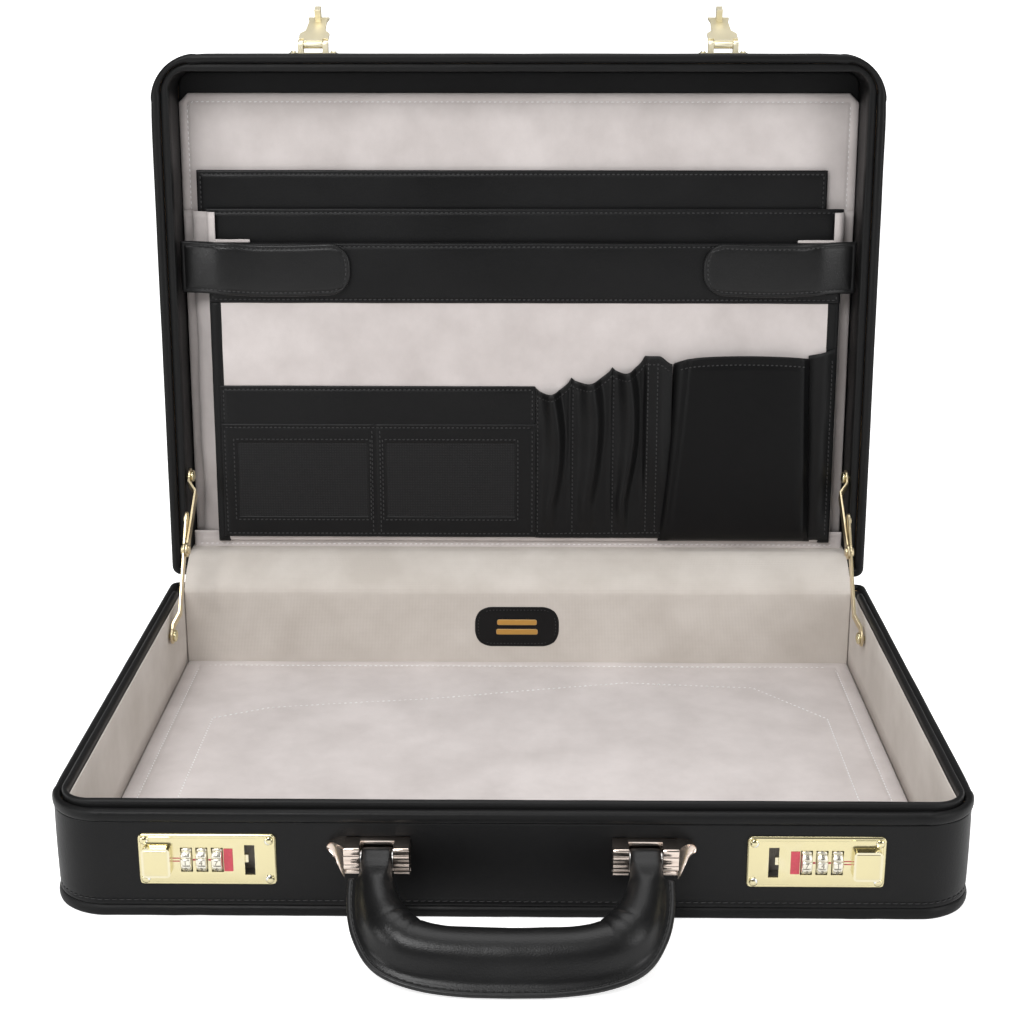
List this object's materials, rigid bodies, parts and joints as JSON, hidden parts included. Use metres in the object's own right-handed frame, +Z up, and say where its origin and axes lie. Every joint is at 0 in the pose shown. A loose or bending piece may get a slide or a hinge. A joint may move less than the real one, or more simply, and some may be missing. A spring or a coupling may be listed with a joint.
{
  "type": "leather briefcase",
  "caption": "Open hard-sided leather attache case with a hinged lid on folding stays, combination locks with hasps, swinging grip handle and tilting document file",
  "frame": {"origin": "centre of the underside of the base, on the surface the case rests on", "axes": "+X to the right of someone facing the locks, +Y from the handle towards the hinge, +Z up; rest pose has the lid open"},
  "size_m": [0.457, 0.4755, 0.4212],
  "materials": {
    "leather_black": "smooth black full-grain leather, satin",
    "trim_black": "black trim leather over the welts, beads and lip, satin",
    "suede_grey": "pinkish grey suede-cloth lining, matte",
    "cloth_beige": "beige twill lining, matte",
    "basswood": "plain unfinished board",
    "brass_pale": "polished pale brass plate",
    "rose_nickel": "polished rose-tinted nickel",
    "steel": "plain steel",
    "rivet_silver": "bright nickel rivet heads",
    "flag_red": "red index flag"
  },
  "bodies": {
    "base": {"base_boards": "basswood", "base_leather": "leather_black", "base_welt": "trim_black", "base_rim_bead": "trim_black", "base_tongue": "trim_black", "base_side_lining": "cloth_beige", "base_floor_pad": "suede_grey", "hinge_flap_base": "cloth_beige", "label_patch": "leather_black", "hinge_leaf_base": "brass_pale", "hinge_pin": "steel", "spine_feet_base": "brass_pale", "lock_plate_left": "brass_pale", "lock_plate_right": "brass_pale", "lock_carriers": "steel", "dial_axles": "steel", "index_flags": "flag_red", "bolt_springs": "steel", "base_rivets": "rivet_silver", "handle_bracket_left": "rose_nickel", "handle_bracket_right": "rose_nickel", "handle_pins": "steel"},
    "lid": {"lid_boards": "basswood", "lid_leather": "leather_black", "lid_welt": "trim_black", "lid_rim_bead": "trim_black", "lid_inner_lining": "trim_black", "lid_lining_panel": "suede_grey", "hinge_flap_lid": "cloth_beige", "hinge_leaf_lid": "brass_pale", "spine_feet_lid": "brass_pale", "hasp_flanges": "brass_pale", "hasp_pins": "steel", "lid_rivets": "rivet_silver", "file_gussets": "suede_grey"},
    "handle": {"handle_core": "steel", "handle_grip": "leather_black"},
    "hasp_left": {"hasp_left": "brass_pale"},
    "hasp_right": {"hasp_right": "brass_pale"},
    "slider_left": {"lock_slider_left": "brass_pale"},
    "slider_right": {"lock_slider_right": "brass_pale"},
    "file_front": {"folio_front": "suede_grey", "card_pocket": "leather_black", "pen_pockets": "leather_black", "pouch": "leather_black", "snap_studs": "brass_pale"},
    "file_middle": {"folio_middle": "leather_black"},
    "file_rear": {"folio_rear": "leather_black"},
    "strap_left": {"strap_left": "leather_black"},
    "strap_right": {"strap_right": "leather_black"},
    "dial_left_1": {"dial_left_1": "brass_pale"},
    "dial_left_2": {"dial_left_2": "brass_pale"},
    "dial_left_3": {"dial_left_3": "brass_pale"},
    "stay_lower_left": {"stay_lower_left": "brass_pale"},
    "stay_upper_left": {"stay_upper_left": "brass_pale"},
    "dial_right_1": {"dial_right_1": "brass_pale"},
    "dial_right_2": {"dial_right_2": "brass_pale"},
    "dial_right_3": {"dial_right_3": "brass_pale"},
    "stay_lower_right": {"stay_lower_right": "brass_pale"},
    "stay_upper_right": {"stay_upper_right": "brass_pale"}
  },
  "joints": [
    {"name": "lid_hinge", "type": "hinge", "parent": "base", "child": "lid", "pos_m": [0, 0.17, 0.05725], "axis": [-1, 0, 0], "range_deg": [-93, 0]},
    {"name": "stay_lower_left_pivot", "type": "hinge", "parent": "base", "child": "stay_lower_left", "pos_m": [-0.215, 0.1, 0.04425], "axis": [1, 0, 0], "range_deg": [0, 121.25]},
    {"name": "stay_upper_left_pivot", "type": "hinge", "parent": "lid", "child": "stay_upper_left", "pos_m": [-0.215, 0.18355, 0.12463], "axis": [1, 0, 0], "range_deg": [-109.73, 0]},
    {"name": "stay_lower_right_pivot", "type": "hinge", "parent": "base", "child": "stay_lower_right", "pos_m": [0.215, 0.1, 0.04425], "axis": [1, 0, 0], "range_deg": [0, 121.25]},
    {"name": "stay_upper_right_pivot", "type": "hinge", "parent": "lid", "child": "stay_upper_right", "pos_m": [0.215, 0.18355, 0.12463], "axis": [1, 0, 0], "range_deg": [-109.73, 0]},
    {"name": "handle_swing", "type": "hinge", "parent": "base", "child": "handle", "pos_m": [0, -0.1745, 0.036], "axis": [1, 0, 0], "range_deg": [-86, 47]},
    {"name": "hasp_left_pivot", "type": "hinge", "parent": "lid", "child": "hasp_left", "pos_m": [-0.127, 0.19741, 0.39878], "axis": [-1, 0, 0], "range_deg": [-158, 0]},
    {"name": "hasp_right_pivot", "type": "hinge", "parent": "lid", "child": "hasp_right", "pos_m": [0.127, 0.19741, 0.39878], "axis": [-1, 0, 0], "range_deg": [-158, 0]},
    {"name": "lock_slide_left", "type": "slide", "parent": "base", "child": "slider_left", "axis": [-1, 0, 0], "range_m": [0, 0.0025]},
    {"name": "lock_slide_right", "type": "slide", "parent": "base", "child": "slider_right", "axis": [1, 0, 0], "range_m": [0, 0.0025]},
    {"name": "dial_left_1_turn", "type": "hinge", "parent": "base", "child": "dial_left_1", "pos_m": [-0.1428, -0.1646, 0.0315], "axis": [1, 0, 0], "continuous": true},
    {"name": "dial_left_2_turn", "type": "hinge", "parent": "base", "child": "dial_left_2", "pos_m": [-0.1503, -0.1646, 0.0315], "axis": [1, 0, 0], "continuous": true},
    {"name": "dial_left_3_turn", "type": "hinge", "parent": "base", "child": "dial_left_3", "pos_m": [-0.1578, -0.1646, 0.0315], "axis": [1, 0, 0], "continuous": true},
    {"name": "dial_right_1_turn", "type": "hinge", "parent": "base", "child": "dial_right_1", "pos_m": [0.1428, -0.1646, 0.0315], "axis": [1, 0, 0], "continuous": true},
    {"name": "dial_right_2_turn", "type": "hinge", "parent": "base", "child": "dial_right_2", "pos_m": [0.1503, -0.1646, 0.0315], "axis": [1, 0, 0], "continuous": true},
    {"name": "dial_right_3_turn", "type": "hinge", "parent": "base", "child": "dial_right_3", "pos_m": [0.1578, -0.1646, 0.0315], "axis": [1, 0, 0], "continuous": true},
    {"name": "file_tilt", "type": "hinge", "parent": "lid", "child": "file_front", "pos_m": [0, 0.18988, 0.07824], "axis": [1, 0, 0], "range_deg": [0, 5]},
    {"name": "file_middle_tilt", "type": "hinge", "parent": "lid", "child": "file_middle", "pos_m": [0, 0.19662, 0.07989], "axis": [1, 0, 0], "range_deg": [0, 3.4]},
    {"name": "file_rear_tilt", "type": "hinge", "parent": "lid", "child": "file_rear", "pos_m": [0, 0.20161, 0.07963], "axis": [1, 0, 0], "range_deg": [0, 1.7]},
    {"name": "strap_left_swing", "type": "hinge", "parent": "lid", "child": "strap_left", "pos_m": [-0.2165, 0.19269, 0.26084], "axis": [0, -0.0523, -0.9986], "range_deg": [0, 85]},
    {"name": "strap_right_swing", "type": "hinge", "parent": "lid", "child": "strap_right", "pos_m": [0.2165, 0.19269, 0.26084], "axis": [0, 0.0523, 0.9986], "range_deg": [0, 85]}
  ],
  "couplings": [
    {"joint": "stay_lower_left_pivot", "follows": "lid_hinge", "ratio": -1.3036},
    {"joint": "stay_upper_left_pivot", "follows": "lid_hinge", "ratio": 1.1798},
    {"joint": "stay_lower_right_pivot", "follows": "lid_hinge", "ratio": -1.3036},
    {"joint": "stay_upper_right_pivot", "follows": "lid_hinge", "ratio": 1.1798},
    {"joint": "file_middle_tilt", "follows": "file_tilt", "ratio": 0.6667},
    {"joint": "file_rear_tilt", "follows": "file_tilt", "ratio": 0.3333},
    {"joint": "strap_left_swing", "follows": "file_tilt", "ratio": 17},
    {"joint": "strap_right_swing", "follows": "file_tilt", "ratio": 17}
  ]
}
